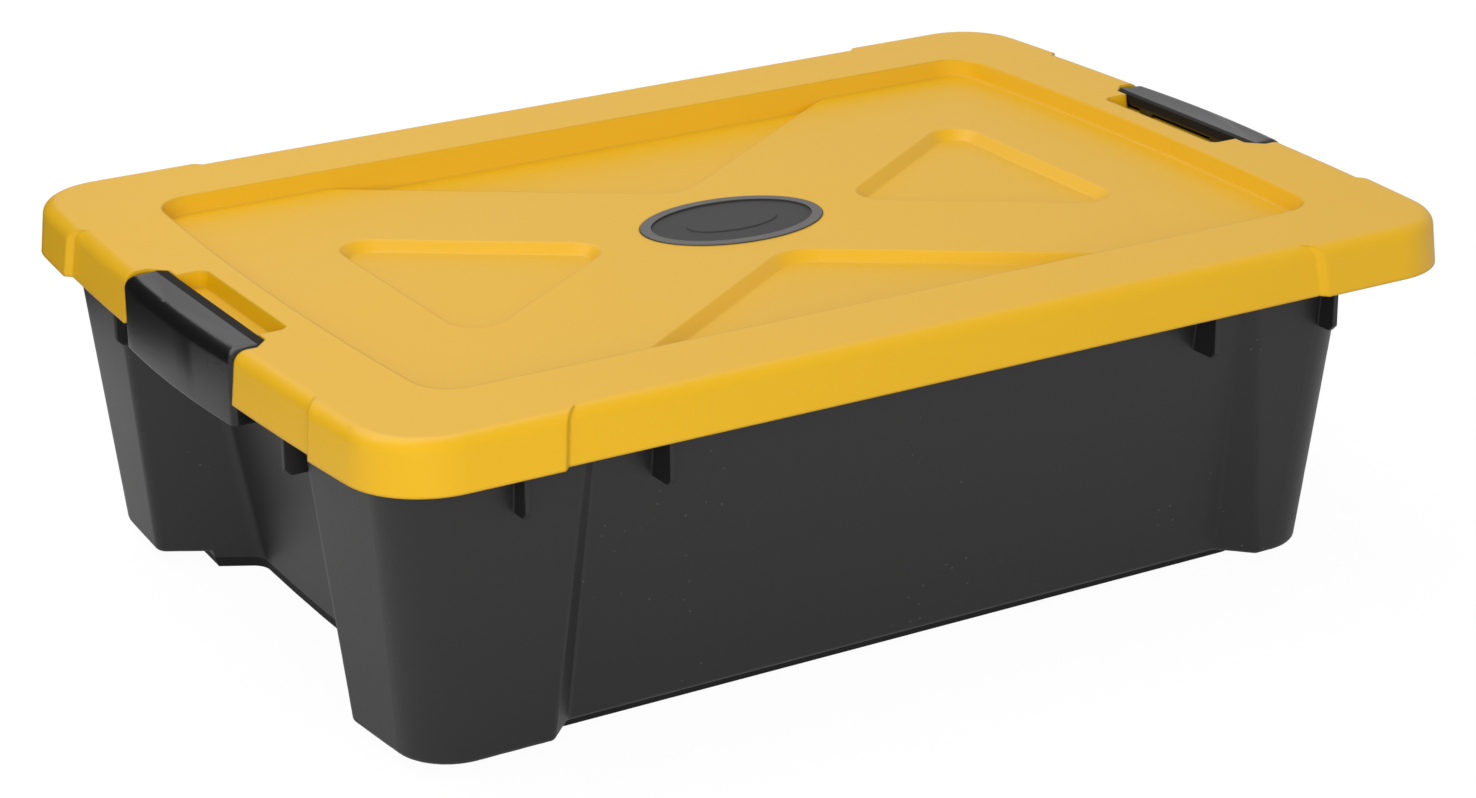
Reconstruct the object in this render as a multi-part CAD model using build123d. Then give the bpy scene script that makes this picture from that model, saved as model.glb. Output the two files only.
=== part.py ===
from build123d import *
import math
import os

# Stackable storage box: a tapered tub with four corner pillars, a lid with a
# stacking recess, two hinged end latches and an oval badge. Millimetres.
# +X runs along the length, +Y across the width, +Z up. The origin is on the
# ground under the middle of the tub. Outlines are given as one quarter and
# mirrored; drafts are in millimetres per millimetre of height.

# Lid
lid_top = 177.0              # height of the closed box
skirt_depth = 25.0
lid_half_length = 300.0      # skirt bottom at the middle of a short end
lid_half_width = 208.4       # skirt bottom along a long side
lid_wall = 2.5
skirt_draft = 6.0            # degrees
top_round = 6.5              # rounding between the lid top and the skirt
end_bow = 1935.0             # plan radius of the bowed short ends
cap_step = 3.6               # the corner caps stand this far proud
cap_start_x = 205.2          # where the cap steps out of a long side
cap_start_y = 139.2          # where the cap steps out of a short end
lid_corner_radius = 36.0

# Stacking recess in the lid and the triangles pressed into its panel
recess_half_length = 250.3
recess_half_width = 157.7
recess_depth = 9.0
recess_slope = 2.8           # the recess wall leans in this far
recess_corner_radius = 20.0
triangle_depth = 5.0
triangle_slope = 45.0        # degrees
arm_angle = 35.0             # angle of the arms between triangles, degrees
side_triangle_tip = 65.0     # sharp tip of a side triangle
side_triangle_base = 187.0
side_triangle_radius = 15.0
long_triangle_tip = 50.0     # sharp tip of a front or rear triangle
long_triangle_radius = 24.0

# Tub
tub_wall = 2.5
floor_thickness = 2.5
foot_height = 8.0            # the foot drops into the recess of the box below
foot_clearance = 1.0
rim_gap = 0.3                # between the lid and the tub rim
rim_thickness = 2.5
rim_lip_depth = 16.0
rim_inset = 5.5              # rim edge inside the skirt bottom
rim_corner_radius = 30.0
rim_round = 4.5
pillar_half_width = 181.0    # pillar face on a long side, at the foot
pillar_draft = 0.074
pillar_half_length = 274.0   # pillar face on the left end, at the foot
pillar_end_draft = 0.100
panel_half_width = 165.7     # panel between the pillars, at the foot
panel_draft = 0.152
panel_end = 187.0            # where the panel meets the step of the pillar
panel_end_draft = -0.044
pillar_start = 202.0         # where the step reaches the pillar face
pillar_start_draft = -0.100
pillar_corner_radius = 28.0
right_half_length = 239.5    # pillar face on the right end, at the foot
right_end_draft = 0.11
right_step_inset = 6.0       # the steps beside the right pillars stand this far in
step_radius = 4.0
grip_half_length = 226.0     # back wall of the left hand recess, at the ground
grip_draft = 0.20
right_grip_half_length = 227.0
right_grip_draft = 0.163
grip_mouth = 113.0           # half width of the hand recess at its mouth
grip_mouth_draft = -0.045
grip_back = 87.0             # half width of the hand recess at its back
grip_back_draft = -0.060
grip_mouth_radius = 7.0
grip_back_radius = 10.0
foot_corner_radius = 18.0
right_foot_inset = 30.0      # the foot ends this much sooner at the right
base_round = 3.0

# Ribs under the rim
rib_thickness = 2.5
rib_bottom = 128.0
rib_root_y = 180.0           # ribs start inside the wall of the tub
rib_reach_y = 201.0
rib_end_gap = 4.0            # between an end rib and the edge of the rim
rib_corner = 3.0
long_rib_stations = (150.0, 222.0)
end_rib_station = 98.0

# Latch
latch_half_width = 62.5
latch_bottom = 141.0
latch_wall = 2.3
cheek_thickness = 2.5
latch_proud = 1.3            # the middle of the face stands out past the lid
latch_bow = 700.0            # plan radius of the face
latch_reach = 21.5           # the flange reaches this far in over the lid
latch_bevel = 4.5            # width of the bevel along the flange
latch_bevel_drop = 3.5
latch_lip_depth = 5.5        # flange lip, measured down from the lid top
latch_lip_thickness = 2.5
latch_round = 6.5            # rounding between the flange and the face
latch_side_round = 3.0
latch_edge_round = 0.8
latch_corner_cut = 7.0       # cut corners of the flange
cheek_width = 16.0           # from the end of the lid inwards
tab_station = 31.0
tab_half_width = 5.5
tab_drop = 2.0
latch_rib_thickness = 2.0
latch_rib_depth = 3.5
latch_rib_stations = (-39.0, -13.0, 13.0, 39.0)
latch_gap = 0.8              # between the latch and the lid beside it

# Latch hinge
pivot_inset = 8.0            # from the end of the lid
pivot_z = 147.5
pin_radius = 2.45
bore_radius = 2.53
pin_length = 5.0
lug_thickness = 6.0
lug_gap = 0.5                # between a lug and the cheek of the latch
lug_radius = 4.3
lug_foot_spread = 10.0       # the web of a lug starts this far in from its hinge

# Ledge of the lid under the latch flange, and the finger slot beside it
ledge_depth = 8.0            # below the lid top
ledge_inset = 18.5           # from the end of the lid to the edge of the ledge
slot_half_width = 48.0
slot_width = 19.0            # from the edge of the ledge inwards
slot_draft = 10.0            # degrees
slot_corner_radius = 5.0
seat_gap = 0.5               # between the ledge and the lowered rim below it
seat_side_gap = 1.2
seat_inset = 7.5             # from the end of the lid to the edge of the seat

# Oval badge in the middle of the lid
badge_half_length = 49.0
badge_half_width = 34.0
badge_thickness = 2.2
badge_proud = 0.6
badge_rim = 5.5
badge_field_depth = 1.1
badge_gap = 0.3
badge_boss_half_length = 25.0
badge_boss_half_width = 13.0
badge_boss_height = 0.6
badge_edge_round = 0.5
badge_peg_station = 30.0
badge_peg_radius = 2.0
badge_peg_gap = 0.1

skirt_bottom = lid_top - skirt_depth
lid_underside = lid_top - lid_wall
recess_floor = lid_top - recess_depth
recess_draft = math.degrees(math.atan(recess_slope / recess_depth))
arm_slope = math.tan(math.radians(arm_angle))
ledge_top = lid_top - ledge_depth
rim_top = lid_underside - rim_gap
rim_underside = rim_top - rim_thickness
seat_top = ledge_top - lid_wall - seat_gap
badge_seat = recess_floor + badge_proud - badge_thickness
latch_face = lid_half_length + latch_proud
latch_inner = lid_half_length - latch_reach
latch_flat = latch_inner + latch_bevel
cheek_inner = lid_half_length - cheek_width
pivot_x = lid_half_length - pivot_inset
ledge_outer = lid_half_length - ledge_inset
slot_inner = ledge_outer - slot_width
seat_outer = lid_half_length - seat_inset
rib_reach_x = lid_half_length - rim_inset - rib_end_gap
far_out = 1.1 * lid_half_length      # beyond every part of the box
ends = (-1, 1)


def bowed(half_length, y):
    """X of a bowed end that stands half_length out at the middle."""
    return half_length - y * y / (2 * end_bow)


def outline(quarter, z, right_quarter=None):
    """Closed face at height z. Each quarter point is x, y, corner radius and
    the half length of the bowed end it lies on, or None."""
    ring = []
    for side_x, side_y in ((1, 1), (1, -1), (-1, -1), (-1, 1)):
        given = right_quarter if right_quarter and side_x > 0 else quarter
        points = [(side_x * x, side_y * y, r, bow) for x, y, r, bow in given]
        if side_x != side_y:
            points.reverse()
        ring += points
    edges = []
    for start, stop in zip(ring, ring[1:] + ring[:1]):
        same_end = start[0] * stop[0] > 0
        if same_end and start[3] is not None and start[3] == stop[3]:
            middle_y = (start[1] + stop[1]) / 2
            middle_x = math.copysign(bowed(start[3], middle_y), start[0])
            edges.append(ThreePointArc((*start[:2], z), (middle_x, middle_y, z), (*stop[:2], z)))
        else:
            edges.append(Line((*start[:2], z), (*stop[:2], z)))
    face = Face(Wire(edges))
    for radius in sorted({point[2] for point in ring}):
        spots = [Vector(point[0], point[1], z) for point in ring if point[2] == radius]
        corners = [v for v in face.vertices() if min((Vector(*v) - s).length for s in spots) < 0.01]
        face = fillet(corners, radius).face()
    return face


def raised(face, height, taper=0):
    """Solid from a level face, up or down, leaning in by taper degrees."""
    way = (0, 0, math.copysign(1, height))
    return extrude(face, amount=abs(height), dir=way, taper=taper)


def ruled(lower, upper):
    """Solid with straight walls between two outlines."""
    return loft([lower, upper], ruled=True)


def slab(x_low, x_high, half_width, z_low, z_high):
    """Block from x_low to x_high, the same distance each side of the middle."""
    block = Box(x_high - x_low, 2 * half_width, z_high - z_low)
    return Pos((x_low + x_high) / 2, 0, (z_low + z_high) / 2) * block


def both_ends(shape):
    return shape + mirror(shape, about=Plane.YZ)


def bowed_block(half_length, half_width, radius, z_low, z_high, lean):
    """Block with bowed ends whose walls lean in by lean on the way up."""
    sections = []
    for z, shrink in ((z_low, 0), (z_high, lean)):
        long, wide = half_length - shrink, half_width - shrink
        corner = (bowed(long, wide), wide, radius - shrink, long)
        sections.append(outline([corner], z))
    return ruled(*sections)


def top_edges(shape):
    return shape.faces().sort_by(Axis.Z)[-1].outer_wire().edges()


def lid_form(wall):
    """Outside of the lid without its recess, or the hollow a wall inside it."""
    lean = skirt_depth * math.tan(math.radians(skirt_draft))
    forms = []
    for proud in (0, cap_step):
        form = bowed_block(
            lid_half_length + proud - wall, lid_half_width + proud - wall,
            lid_corner_radius + proud - wall, skirt_bottom, lid_top - wall, lean)
        forms.append(fillet(top_edges(form), top_round - wall))
    skirt, caps = forms
    reach = lid_corner_radius
    shift = wall / math.sqrt(2)
    end_x = bowed(lid_half_length, cap_start_y)
    low_x, low_y = cap_start_x + shift, lid_half_width - shift
    high_x, high_y = end_x - shift, cap_start_y + shift
    band = make_face(Polyline(
        (low_x - reach, low_y - reach), (low_x + reach, low_y + reach),
        (high_x + reach, high_y + reach), (high_x - reach, high_y - reach), close=True))
    band = raised(band, 2 * lid_top)
    band += mirror(band, about=Plane.XZ)
    return skirt + (caps & both_ends(band))


def lid_hollow():
    """Space inside the skirt, open below."""
    mouth = outline([(
        bowed(lid_half_length - lid_wall, lid_half_width - lid_wall), lid_half_width - lid_wall,
        lid_corner_radius - lid_wall, lid_half_length - lid_wall)], skirt_bottom)
    return lid_form(lid_wall) + raised(mouth, -lid_wall)


def recess_outline(z):
    corner_x = bowed(recess_half_length, recess_half_width)
    corner = (corner_x, recess_half_width, recess_corner_radius, recess_half_length)
    return outline([corner], z)


def triangle(tip, base, tip_radius, end_radius):
    """Triangle on the recess floor that points at the middle of the lid."""
    slope = arm_slope if base == side_triangle_base else 1 / arm_slope
    half_base = (base - tip) * slope
    face = make_face(Polyline((tip, 0), (base, half_base), (base, -half_base), close=True))
    corners = face.vertices().sort_by(Axis.X)
    face = fillet(corners[:1], tip_radius)
    return fillet(face.vertices().sort_by(Axis.X)[-2:], end_radius)


def pocket(growth):
    """Recess and triangles as one solid. The growth turns the space that is
    pressed in into the outside of the wall around it."""
    wall = growth / math.cos(math.radians(recess_draft))
    top = recess_outline(lid_top)
    if growth:
        top = offset(top, amount=wall).face()
    solid = raised(top, -(recess_depth + growth), recess_draft)
    deep = raised(top, -(recess_depth + triangle_depth + growth), recess_draft)
    slanted = growth / math.cos(math.radians(triangle_slope))
    side_face = triangle(side_triangle_tip, side_triangle_base, side_triangle_radius, side_triangle_radius)
    long_face = triangle(long_triangle_tip, far_out, long_triangle_radius, side_triangle_radius)
    presses = []
    for face, turns in ((side_face, (0, 180)), (long_face, (90, 270))):
        if growth:
            face = offset(face, amount=slanted)
        press = raised(face, -(triangle_depth + growth), triangle_slope)
        for turn in turns:
            presses.append(Rot(0, 0, turn) * Pos(0, 0, recess_floor) * press)
    for press in presses:
        shaped = press & deep
        solid += shaped
    return solid


def latch_plan(gap):
    """Plan of the right latch flange, open to the outside, grown by a gap."""
    inner = latch_inner - gap
    half = latch_half_width + gap
    cut = latch_corner_cut + gap * (2 - math.sqrt(2))
    return make_face(Polyline(
        (inner, cut - half), (inner + cut, -half), (far_out, -half),
        (far_out, half), (inner + cut, half), (inner, half - cut), close=True))


def slot_press():
    """Finger slot beside the right latch."""
    length = ledge_outer + slot_corner_radius - slot_inner
    face = RectangleRounded(length, 2 * slot_half_width, slot_corner_radius)
    press = raised(face, -ledge_depth, slot_draft)
    return Pos(slot_inner + length / 2, 0, lid_top) * press


def ledge_block():
    """Wall around the slot and under the flange of the right latch."""
    floor = ledge_top - lid_wall
    half_ledge = latch_half_width + latch_gap + lid_wall
    block = slab(slot_inner - lid_wall, ledge_outer, slot_half_width + lid_wall, floor, lid_underside + 1)
    return block + slab(latch_inner - latch_gap - lid_wall, ledge_outer, half_ledge, floor, lid_underside + 1)


def lid():
    shell = lid_form(0) - (lid_hollow() - pocket(lid_wall) - both_ends(ledge_block()))
    pad = Ellipse(badge_half_length + badge_gap + lid_wall, badge_half_width + badge_gap + lid_wall)
    shell += raised(Pos(0, 0, badge_seat - lid_wall) * pad, recess_floor - badge_seat + lid_wall / 2)
    shell -= pocket(0)
    flange_space = raised(Pos(0, 0, ledge_top) * latch_plan(latch_gap), skirt_depth)
    latch_space = raised(latch_plan(latch_gap), 2 * lid_top)
    latch_space &= slab(ledge_outer, far_out, lid_half_width, 0, 2 * lid_top)
    shell -= both_ends(slot_press() + flange_space + latch_space)
    seat = Ellipse(badge_half_length + badge_gap, badge_half_width + badge_gap)
    shell -= raised(Pos(0, 0, badge_seat) * seat, badge_thickness)
    for side in ends:
        hole = Cylinder(badge_peg_radius + badge_peg_gap, 4 * lid_wall)
        shell -= Pos(side * badge_peg_station, 0, badge_seat) * hole
    return shell


def badge():
    oval = Ellipse(badge_half_length, badge_half_width)
    plate = raised(Pos(0, 0, badge_seat) * oval, badge_thickness)
    plate = fillet(top_edges(plate), badge_edge_round)
    field = Ellipse(badge_half_length - badge_rim, badge_half_width - badge_rim)
    field_height = badge_seat + badge_thickness - badge_field_depth
    plate -= raised(Pos(0, 0, field_height) * field, badge_thickness)
    boss = Ellipse(badge_boss_half_length, badge_boss_half_width)
    boss = raised(Pos(0, 0, field_height) * boss, badge_boss_height)
    plate += fillet(top_edges(boss), badge_edge_round)
    for side in ends:
        peg = Cylinder(badge_peg_radius, lid_wall, align=(Align.CENTER, Align.CENTER, Align.MAX))
        plate += Pos(side * badge_peg_station, 0, badge_seat) * peg
    return plate


def pillar_face(side, z):
    """Distance of the pillar faces of one end from the middle of the lid."""
    half_length, draft = pillar_half_length, pillar_end_draft
    if side > 0:
        half_length, draft = right_half_length, right_end_draft
    return half_length + draft * (z - foot_height)


def grip_wall(side, z):
    """Distance of the back wall of one hand recess from the middle."""
    if side > 0:
        return right_grip_half_length + right_grip_draft * z
    return grip_half_length + grip_draft * z


def tub_quarter(side, z):
    """Corners of one end of the tub wall at height z, hand recess included."""
    rise = z - foot_height
    step_inset = right_step_inset if side > 0 else 0
    pillar_y = pillar_half_width + pillar_draft * rise
    pillar_x = pillar_face(side, z)
    panel_y = panel_half_width + panel_draft * rise
    grip_x = grip_wall(side, z)
    mouth_y = grip_mouth + grip_mouth_draft * z
    back_y = grip_back + grip_back_draft * z
    return [
        (panel_end - step_inset + panel_end_draft * rise, panel_y, step_radius, None),
        (pillar_start - step_inset + pillar_start_draft * rise, pillar_y, step_radius, None),
        (bowed(pillar_x, pillar_y), pillar_y, pillar_corner_radius, pillar_x),
        (bowed(pillar_x, mouth_y), mouth_y, grip_mouth_radius, pillar_x),
        (bowed(grip_x, back_y), back_y, grip_back_radius, grip_x),
    ]


def tub_outline(z):
    """Outside of the tub wall at height z."""
    return outline(tub_quarter(-1, z), z, tub_quarter(1, z))


def foot_outline(z):
    """Outside of the foot, a clearance inside the recess it drops into."""
    drop = recess_slope * (foot_height - z) / recess_depth
    half_width = recess_half_width - foot_clearance - drop
    corners = []
    for end_inset in (0, right_foot_inset):
        half_length = recess_half_length - foot_clearance - drop - end_inset
        corners.append([(bowed(half_length, half_width), half_width, foot_corner_radius, half_length)])
    left, right = corners
    return outline(left, z, right)


def inset(face, amount):
    return offset(face, amount=-amount).face()


def is_outer(edge):
    """Whether an edge of the underside belongs to the outer wall."""
    spot = edge.center()
    past_end = spot.X < -recess_half_length or spot.X > recess_half_length - right_foot_inset
    return abs(spot.Y) > recess_half_width or past_end


def tub_body():
    """Outside of the tub up to the rim, cut back to the foot at the bottom."""
    wall = ruled(tub_outline(0), tub_outline(rim_top))
    around = slab(-far_out, far_out, far_out, -foot_height, foot_height)
    wall -= around - ruled(foot_outline(-foot_height), foot_outline(foot_height))
    underside = [face for face in wall.faces() if abs(face.center().Z - foot_height) < 0.01]
    edges = [edge for face in underside for edge in face.edges() if is_outer(edge)]
    return fillet(edges, base_round)


def tub_space():
    """Space inside the tub, down to its floor."""
    ledge = foot_height + floor_thickness
    above = rim_top + 1
    space = ruled(inset(tub_outline(floor_thickness), tub_wall), inset(tub_outline(above), tub_wall))
    around = slab(-far_out, far_out, far_out, 0, ledge)
    low = ruled(inset(foot_outline(0), tub_wall), inset(foot_outline(ledge), tub_wall))
    return space - (around - low)


def rim_outline(z):
    half_width = lid_half_width - rim_inset
    half_length = lid_half_length - rim_inset
    return outline([(bowed(half_length, half_width), half_width, rim_corner_radius, half_length)], z)


def rim():
    """Flange around the tub with a lip turned down, open behind the latches."""
    outer = fillet(top_edges(raised(rim_outline(rim_top - rim_lip_depth), rim_lip_depth)), rim_round)
    inner = raised(inset(rim_outline(rim_top - rim_lip_depth), rim_thickness), rim_lip_depth - rim_thickness)
    inner = fillet(top_edges(inner), rim_round - rim_thickness)
    open_half = latch_half_width + latch_gap + lid_wall + seat_side_gap
    gate = slab(pivot_x - 2 * rim_lip_depth, far_out, open_half, 0, rim_underside)
    return outer - inner - both_ends(gate)


def seat_start(end):
    """Just inside the wall of the tub, from where the rim behind a latch is low."""
    return grip_wall(end, seat_top - rim_thickness) - 2 * tub_wall


def seat_block(end):
    """Lowered piece of rim behind a latch, before it is hollowed. Like the
    pieces below, it is made at the right, with the walls of the end it is for."""
    half = latch_half_width + latch_gap + lid_wall + seat_side_gap + rim_thickness
    return slab(seat_start(end), seat_outer, half, seat_top - rim_thickness, rim_underside)


def seat_space(end):
    """Room in the rim for the lid's slot and the cheeks of the latch."""
    half = latch_half_width + latch_gap + lid_wall + seat_side_gap
    space = slab(seat_start(end), far_out, half, seat_top, lid_top)
    lug_face = latch_half_width - cheek_thickness - lug_gap
    cheek_space = slab(cheek_inner - lug_gap, far_out, half, 0, lid_top)
    return space + (cheek_space - slab(0, far_out, lug_face, 0, lid_top))


def lug(side):
    """Hinge lug of the right latch, on one side."""
    foot_z = seat_top - rim_thickness / 2
    web = make_face(Polyline(
        (pivot_x - lug_radius, pivot_z), (pivot_x + lug_radius, pivot_z),
        (seat_outer, foot_z), (pivot_x - lug_foot_spread, foot_z), close=True))
    face = web + Pos(pivot_x, pivot_z) * Circle(lug_radius)
    face -= Pos(pivot_x, pivot_z) * Circle(bore_radius)
    outer = latch_half_width - cheek_thickness - lug_gap
    plate = extrude(Plane.XZ * face, amount=lug_thickness)
    shift = outer if side > 0 else lug_thickness - outer
    return Pos(0, shift, 0) * plate


def long_rib(station, side):
    """Upright rib under the rim on a long side."""
    face = make_face(Polyline(
        (rib_root_y, rib_bottom), (rib_reach_y - rib_corner, rib_bottom),
        (rib_reach_y, rib_bottom + rib_corner), (rib_reach_y, rim_underside),
        (rib_root_y, rim_underside), close=True))
    plate = extrude(Plane.YZ * face, amount=rib_thickness / 2, both=True)
    if side < 0:
        plate = mirror(plate, about=Plane.XZ)
    return Pos(station, 0, 0) * plate


def end_rib(side, end):
    """Upright rib under the rim beside a latch."""
    root = grip_wall(end, rib_bottom)
    face = make_face(Polyline(
        (root, rib_bottom), (rib_reach_x - rib_corner, rib_bottom),
        (rib_reach_x, rib_bottom + rib_corner), (rib_reach_x, rim_underside),
        (root, rim_underside), close=True))
    plate = extrude(Plane.XZ * face, amount=rib_thickness / 2, both=True)
    return Pos(0, side * end_rib_station, 0) * plate


def rim_end(end):
    """Seat, lugs and ribs of one end."""
    pieces = seat_block(end)
    for side in ends:
        pieces += lug(side)
        pieces += end_rib(side, end)
    return pieces


def tub():
    shell = tub_body() + rim() + rim_end(1) + mirror(rim_end(-1), about=Plane.YZ)
    for station in long_rib_stations:
        for side_x in ends:
            for side_y in ends:
                shell += long_rib(side_x * station, side_y)
    shell -= tub_space()
    return shell - seat_space(1) - mirror(seat_space(-1), about=Plane.YZ)


def latch_block(inset_by):
    """Latch as a block with its bowed face, or the same block inset."""
    half = latch_half_width - (cheek_thickness if inset_by else 0)
    face_x = latch_face - inset_by
    side_x = face_x - half * half / (2 * latch_bow)
    inner = latch_inner + (latch_lip_thickness if inset_by else 0)
    cut = latch_corner_cut
    plan = make_face(Wire([
        Line((inner, cut - half), (inner + cut, -half)),
        Line((inner + cut, -half), (side_x, -half)),
        ThreePointArc((side_x, -half), (face_x, 0), (side_x, half)),
        Line((side_x, half), (inner + cut, half)),
        Line((inner + cut, half), (inner, half - cut)),
        Line((inner, half - cut), (inner, cut - half))]))
    corners = plan.vertices().sort_by(Axis.X)[-2:]
    plan = fillet(corners, max(latch_side_round - inset_by, latch_edge_round))
    top = lid_top - inset_by
    low = latch_bottom - inset_by
    block = raised(Pos(0, 0, low) * plan, top - low)
    outer = block.faces().sort_by(Axis.Z)[-1].edges().sort_by(Axis.X)[-3:]
    block = fillet(outer, latch_round - inset_by)
    bevel = make_face(Polyline(
        (latch_flat, top), (latch_inner, top - latch_bevel_drop),
        (latch_inner - latch_round, top - latch_bevel_drop),
        (latch_inner - latch_round, top + latch_round), (latch_flat, top + latch_round), close=True))
    return block - extrude(Plane.XZ * bevel, amount=2 * half, both=True)


def latch():
    """Right latch: a hollow cap with a lipped flange and two hinge pins."""
    space = latch_block(latch_wall)
    rib_x = latch_face - latch_wall - latch_rib_depth
    for station in latch_rib_stations:
        rib = slab(rib_x, far_out, latch_rib_thickness / 2, latch_bottom + latch_round, lid_top)
        space -= Pos(0, station, 0) * rib
    lip_bottom = lid_top - latch_lip_depth
    space += slab(cheek_inner - latch_gap, pivot_x, latch_half_width - cheek_thickness, 0, lip_bottom)
    body = latch_block(0) - space
    body -= slab(0, cheek_inner, lid_half_width, 0, lip_bottom)
    for side in ends:
        tab = Box(latch_lip_thickness, 2 * tab_half_width, 2 * tab_drop)
        body += Pos(latch_inner + latch_lip_thickness / 2, side * tab_station, lip_bottom) * tab
        pin = Cylinder(pin_radius, pin_length + cheek_thickness / 2)
        pin_y = latch_half_width - cheek_thickness / 2 - (pin_length + cheek_thickness / 2) / 2
        body += Pos(pivot_x, side * pin_y, pivot_z) * Rot(90, 0, 0) * pin
    return body


os.makedirs("parts", exist_ok=True)
right_latch = latch()
pieces = {
    "tub": tub(),
    "lid": lid(),
    "latch_right": right_latch,
    "latch_left": mirror(right_latch, about=Plane.YZ),
    "badge": badge(),
}
for name, piece in pieces.items():
    solids = piece.solids()
    box = piece.bounding_box()
    print(name, len(solids), round(piece.volume / 1000, 1), "cm3", box.min, box.max)
    export_step(solids[0] if len(solids) == 1 else piece, "parts/" + name + ".step")
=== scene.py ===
import math

import bmesh
import bpy
from mathutils import Matrix, Vector


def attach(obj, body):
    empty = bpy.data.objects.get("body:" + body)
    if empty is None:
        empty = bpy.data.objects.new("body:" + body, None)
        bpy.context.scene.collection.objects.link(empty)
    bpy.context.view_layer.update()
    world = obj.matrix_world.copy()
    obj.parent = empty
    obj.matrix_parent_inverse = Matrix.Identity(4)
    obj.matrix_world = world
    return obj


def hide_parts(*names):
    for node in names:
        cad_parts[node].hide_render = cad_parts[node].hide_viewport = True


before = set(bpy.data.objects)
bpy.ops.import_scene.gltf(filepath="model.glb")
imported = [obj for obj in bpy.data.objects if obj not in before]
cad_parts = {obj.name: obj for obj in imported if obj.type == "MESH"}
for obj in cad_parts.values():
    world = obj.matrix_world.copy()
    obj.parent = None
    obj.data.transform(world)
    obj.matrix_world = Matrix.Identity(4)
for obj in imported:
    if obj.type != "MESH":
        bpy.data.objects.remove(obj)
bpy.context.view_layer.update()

# The view: a long lens looks down at the front left corner of the box, with
# one long side and one short end in sight. Places and sizes are in metres, and
# the lens and its film in millimetres.
lens = 92.05
film_width = 36
eye = Vector((-0.90813, -1.53817, 0.76539))
heading = math.radians(30.63)
pitch = math.radians(21.2)
roll = math.radians(-0.53)
ahead = Vector((
    math.sin(heading) * math.cos(pitch),
    math.cos(heading) * math.cos(pitch),
    -math.sin(pitch),
))
sideways = Vector((math.cos(heading), -math.sin(heading), 0))
upright = sideways.cross(ahead)
right = sideways * math.cos(roll) + upright * math.sin(roll)
up = upright * math.cos(roll) - sideways * math.sin(roll)
camera = bpy.data.objects.new("camera", bpy.data.cameras.new("camera"))
camera.data.lens = lens
camera.data.sensor_width = film_width
camera.matrix_world = Matrix((right, up, -ahead)).transposed().to_4x4()
camera.location = eye
bpy.context.scene.collection.objects.link(camera)
bpy.context.scene.camera = camera
bpy.context.scene.view_settings.view_transform = "Standard"


# The studio: a pale floor that runs far past the box, a white surround, a broad
# soft lamp overhead, a front lamp that leaves no glints, and a dark card behind
# the left end that only reflections show.
class Shade:
    """A shader value. Arithmetic on it adds the Math nodes."""

    def __init__(self, tree, socket=None):
        self.tree = tree
        self.socket = socket

    def node(self, kind, settings=None, inputs=None, out=0):
        """Adds a node to the tree and gives one of its outputs."""
        made = self.tree.nodes.new("ShaderNode" + kind)
        for name, value in (settings or {}).items():
            setattr(made, name, value)
        for name, value in (inputs or {}).items():
            if isinstance(value, Shade):
                self.tree.links.new(value.socket, made.inputs[name])
            else:
                made.inputs[name].default_value = value
        return Shade(self.tree, made.outputs[out] if made.outputs else None)

    def maths(self, operation, first, second=0.0):
        return self.node("Math", {"operation": operation}, {0: first, 1: second})

    def __add__(self, other):
        return self.maths("ADD", self, other)

    __radd__ = __add__

    def __sub__(self, other):
        return self.maths("SUBTRACT", self, other)

    def __rsub__(self, other):
        return self.maths("SUBTRACT", other, self)

    def __mul__(self, other):
        return self.maths("MULTIPLY", self, other)

    __rmul__ = __mul__

    def __abs__(self):
        return self.maths("ABSOLUTE", self)

    def above(self, edge, width):
        """0 below the edge, 1 above it, smooth over the width."""
        inputs = {"Value": self, "From Min": edge - width / 2, "From Max": edge + width / 2}
        return self.node("MapRange", {"interpolation_type": "SMOOTHSTEP"}, inputs)

    def tint(self, low, high):
        """Colour that runs from low to high with this value."""
        low, high = (end if isinstance(end, Shade) else (*end, 1) for end in (low, high))
        return self.node("Mix", {"data_type": "RGBA"}, {0: self, 6: low, 7: high}, out=2)

    def cover(self, under, over):
        """Two surfaces in one: the upper hides the lower by this value."""
        return self.node("MixShader", inputs={0: self, 1: under, 2: over})

    def finish(self, output="OutputMaterial"):
        """Makes this surface the one that its material or world shows."""
        self.node(output, inputs={"Surface": self})


def bare_shade(owner):
    """Empties the node tree of a material or a world and gives it as a Shade."""
    owner.use_nodes = True
    owner.node_tree.nodes.clear()
    return Shade(owner.node_tree)


def new_material(name):
    material = bpy.data.materials.new(name)
    return material, bare_shade(material)


def stage_piece(name, mesh, paint):
    """Stands a finished sheet in the studio as part of the stage."""
    data = bpy.data.meshes.new(name)
    mesh.to_mesh(data)
    mesh.free()
    data.materials.append(paint)
    piece = bpy.data.objects.new(name, data)
    bpy.context.scene.collection.objects.link(piece)
    return piece


white = (1, 1, 1, 1)
floor_grey = (0.66, 0.66, 0.66, 1)
floor_glow = 1.06
glow_seen = 0.9
glow_reflected = 0.3
floor_paint, shade = new_material("floor paint")
seen = shade.node("LightPath", out="Is Camera Ray")
reflected = shade.node("LightPath", out="Is Glossy Ray")
matt = shade.node("BsdfDiffuse", inputs={"Color": floor_grey})
glow = shade.node("Emission", inputs={"Color": white, "Strength": floor_glow})
(seen * glow_seen + reflected * glow_reflected).cover(matt, glow).finish()

floor_half = 14.0
floor_mesh = bmesh.new()
bmesh.ops.create_grid(floor_mesh, x_segments=1, y_segments=1, size=floor_half)
stage_piece("floor", floor_mesh, floor_paint)

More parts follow.
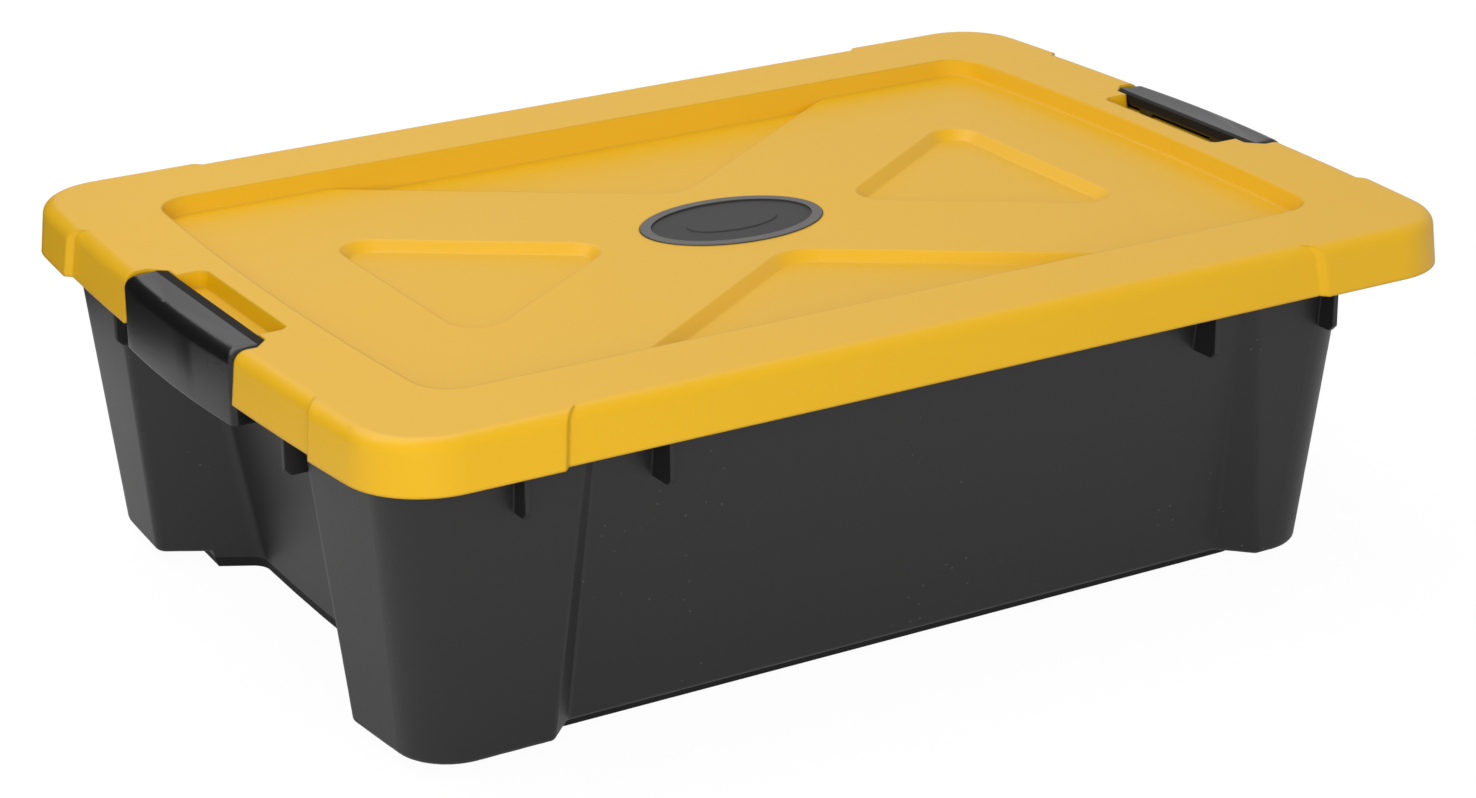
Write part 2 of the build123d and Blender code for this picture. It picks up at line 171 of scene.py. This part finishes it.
surround_light = 0.45
surround_seen = 1.0
surround_reflected = 0.5
world = bpy.data.worlds.new("surround")
bpy.context.scene.world = world
shade = bare_shade(world)
seen = shade.node("LightPath", out="Is Camera Ray")
reflected = shade.node("LightPath", out="Is Glossy Ray")
through = shade.node("LightPath", out="Is Transmission Ray")
soft = shade.node("Background", inputs={"Color": white, "Strength": surround_light})
bright = shade.node("Background", inputs={"Color": white, "Strength": surround_seen})
(seen + reflected * surround_reflected + through).cover(soft, bright).finish("OutputWorld")


def lamp(name, place, size, power, glint=True):
    """A flat lamp that faces the box. Without a glint no surface mirrors it."""
    data = bpy.data.lights.new(name, "AREA")
    data.shape = "RECTANGLE"
    data.size, data.size_y = size
    data.energy = power
    made = bpy.data.objects.new(name, data)
    made.location = place
    made.visible_glossy = glint
    made.rotation_euler = (lamp_aim - Vector(place)).to_track_quat("-Z", "Y").to_euler()
    bpy.context.scene.collection.objects.link(made)


lamp_aim = Vector((0, 0, 0.1))
lamp("overhead", place=(-0.35, 0.7, 1.9), size=(2.4, 1.6), power=21)
lamp("front", place=(-1.3, -2.2, 1.0), size=(1.3, 1.0), power=39, glint=False)

card_black = (0.024, 0.024, 0.024, 1)
card_width = 0.72
card_height = 0.54
card_place = (-0.52, 0.30, 0.29)
card_turn = Matrix.Rotation(math.radians(30), 3, "Z")
upright_turn = Matrix.Rotation(math.radians(90), 3, "X")
card_paint, shade = new_material("card paint")
shade.node("BsdfDiffuse", inputs={"Color": card_black}).finish()
half_metre = 0.5
card_mesh = bmesh.new()
bmesh.ops.create_grid(card_mesh, x_segments=1, y_segments=1, size=half_metre)
bmesh.ops.scale(card_mesh, vec=(card_width, card_height, 1), verts=card_mesh.verts)
bmesh.ops.rotate(card_mesh, matrix=upright_turn, verts=card_mesh.verts)
bmesh.ops.rotate(card_mesh, matrix=card_turn, verts=card_mesh.verts)
bmesh.ops.translate(card_mesh, vec=card_place, verts=card_mesh.verts)
card = stage_piece("dark_card", card_mesh, card_paint)
card.visible_camera = False
card.visible_diffuse = False
card.visible_shadow = False


# The tub: one moulding in charcoal black polypropylene, with a fine matt grain
# and the faint pale specks and rubs of handling. Its foot below the long sides
# has painted shade: below a low height its colour is darker and duller.
pore_scale = 900.0
pore_depth = 0.0004
drift_scale = 7.0
drift_in_roughness = 0.12
speck_scale = 170.0
rub_scale = 19.0
sunk_fade = 0.0003
sunk_dulling = 0.35


def moulded_plastic(shade, dark, light, speck, specks, grain, roughness, edge, sunk=None):
    """Plastic as it leaves the mould, with colours that drift from dark to light.
    Edges shade as if they were round. What lies below a height, given with its
    tone as sunk, is darker and duller; on the tub's foot that is painted shade."""
    place = shade.node("TexCoord", out="Object")
    drift = shade.node("TexNoise", inputs={"Vector": place, "Scale": drift_scale, "Detail": 3.0})
    pores = shade.node("TexNoise", inputs={"Vector": place, "Scale": pore_scale, "Detail": 2.0})
    dust = shade.node("TexVoronoi", inputs={"Vector": place, "Scale": speck_scale})
    rubs = shade.node("TexNoise", inputs={"Vector": place, "Scale": rub_scale, "Detail": 4.0})
    spots = (1 - dust.above(edge=0.08, width=0.06)) * rubs.above(edge=0.57, width=0.08) * specks
    colour = spots.tint(drift.tint(dark, light), speck)
    dullness = roughness + (drift - 0.5) * drift_in_roughness
    if sunk:
        level, tone = sunk
        deep = 1 - shade.node("SeparateXYZ", inputs={0: place}, out="Z").above(level, sunk_fade)
        colour = deep.tint(colour, tone)
        dullness = dullness + deep * sunk_dulling
    round_edge = shade.node("Bevel", {"samples": 6}, {"Radius": edge})
    skin = shade.node("Bump", inputs={
        "Strength": grain,
        "Distance": pore_depth,
        "Height": pores,
        "Normal": round_edge,
    })
    return shade.node("BsdfPrincipled", inputs={"Base Color": colour, "Roughness": dullness, "Normal": skin})


def dress(node_name, material):
    """Gives a CAD node, which is shown as it is, its material."""
    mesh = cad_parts[node_name].data
    mesh.materials.clear()
    mesh.materials.append(material)


# Painted shade: below this height the tub's foot is coloured darker and duller.
foot_height = 0.0052
foot_painted_shade = (0.0025, 0.0025, 0.0025)
tub_black, shade = new_material("charcoal tub plastic")
moulded_plastic(
    shade,
    dark=(0.0100, 0.0098, 0.0098),
    light=(0.0125, 0.0122, 0.0122),
    speck=(0.16, 0.16, 0.16),
    specks=0.35,
    grain=0.25,
    roughness=0.42,
    edge=0.0012,
    sunk=(foot_height, foot_painted_shade),
).finish()
dress("tub", tub_black)


# The lid: one moulding in warm yellow polypropylene with a satin grain. It lies
# on the tub's rim, and the two latches hold its ends down.
lid_yellow, shade = new_material("yellow lid plastic")
moulded_plastic(
    shade,
    dark=(0.75, 0.418, 0.001),
    light=(0.78, 0.438, 0.002),
    speck=(0.55, 0.36, 0.08),
    specks=0.25,
    grain=0.18,
    roughness=0.42,
    edge=0.0022,
).finish()
dress("lid", lid_yellow)


# The latches: hollow mouldings in glossier black, which swing on pins moulded
# on their cheeks. The flange that holds the lid down dips a little, and rises
# again to a square edge where fingers pull the latch open. That edge is painted
# dark and without sheen, a painted shade.
flange_start = 0.296
flange_dip = 0.283
flange_edge = 0.2785
# Painted shade: a flat dark colour that hides the sheen on the flange's square edge.
painted_shade_black = (0.019, 0.018, 0.017, 1)
painted_shade_share = 0.85
painted_shade_above = 0.1725
fade_up = 0.0008
fade_across = 0.0005
latch_black, shade = new_material("black latch plastic")
glossy = moulded_plastic(
    shade,
    dark=(0.006, 0.006, 0.006),
    light=(0.008, 0.008, 0.008),
    speck=(0.1, 0.1, 0.1),
    specks=0.15,
    grain=0.08,
    roughness=0.26,
    edge=0.0012,
)
place = shade.node("TexCoord", out="Object")
reach = abs(shade.node("SeparateXYZ", inputs={0: place}, out="X"))
height = shade.node("SeparateXYZ", inputs={0: place}, out="Z")
painted_shade_mask = (1 - reach.above(flange_dip, fade_across)) * height.above(painted_shade_above, fade_up)
painted_shade_surface = shade.node("BsdfDiffuse", inputs={"Color": painted_shade_black})
(painted_shade_mask * painted_shade_share).cover(glossy, painted_shade_surface).finish()

lid_top = 0.177
reshaped_above = 0.1729
dip_depth = 0.0011
bevel_depth = 0.0035
end_fade = 0.015
weld = 0.000002
crease = math.radians(30)


def square_flange(shell):
    """Lets the flange dip, less and less towards its two ends, and lifts its
    bevel to a square edge. Its reach is taken from the middle of the box."""
    flange_half = max(abs(vert.co.y) for vert in shell.verts)
    for vert in shell.verts:
        reach = abs(vert.co.x)
        if vert.co.z > reshaped_above and reach < flange_start:
            dip = dip_depth * min(1, (flange_half - abs(vert.co.y)) / end_fade)
            if reach > flange_dip:
                vert.co.z -= dip * (flange_start - reach) / (flange_start - flange_dip)
            else:
                rise = (flange_dip - reach) / (flange_dip - flange_edge)
                vert.co.z += rise * (bevel_depth + dip) - dip
            vert.co.z = min(vert.co.z, lid_top)


for side in ("left", "right"):
    shell = bmesh.new()
    shell.from_mesh(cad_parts["latch_" + side].data)
    bmesh.ops.remove_doubles(shell, verts=shell.verts, dist=weld)
    square_flange(shell)
    shell.normal_update()
    for face in shell.faces:
        face.smooth = True
    for edge in shell.edges:
        edge.smooth = edge.calc_face_angle(0) < crease
    latch_data = bpy.data.meshes.new("latch_shell_" + side)
    shell.to_mesh(latch_data)
    shell.free()
    latch_data.materials.append(latch_black)
    latch = bpy.data.objects.new("latch_shell_" + side, latch_data)
    bpy.context.scene.collection.objects.link(latch)
    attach(latch, "latch_" + side)
    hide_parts("latch_" + side)


# The badge: a dark grey oval moulding, set in the middle of the lid on two
# pegs. The field inside its ring lies lower and is darker.
below_ring = 0.0003
field_shade = (0.032, 0.032, 0.032)
ring_top = max(corner.co.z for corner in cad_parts["badge"].data.vertices)
badge_grey, shade = new_material("grey badge plastic")
moulded_plastic(
    shade,
    dark=(0.066, 0.064, 0.062),
    light=(0.076, 0.074, 0.072),
    speck=(0.15, 0.15, 0.15),
    specks=0.1,
    grain=0.15,
    roughness=0.40,
    edge=0.0005,
    sunk=(ring_top - below_ring, field_shade),
).finish()
dress("badge", badge_grey)
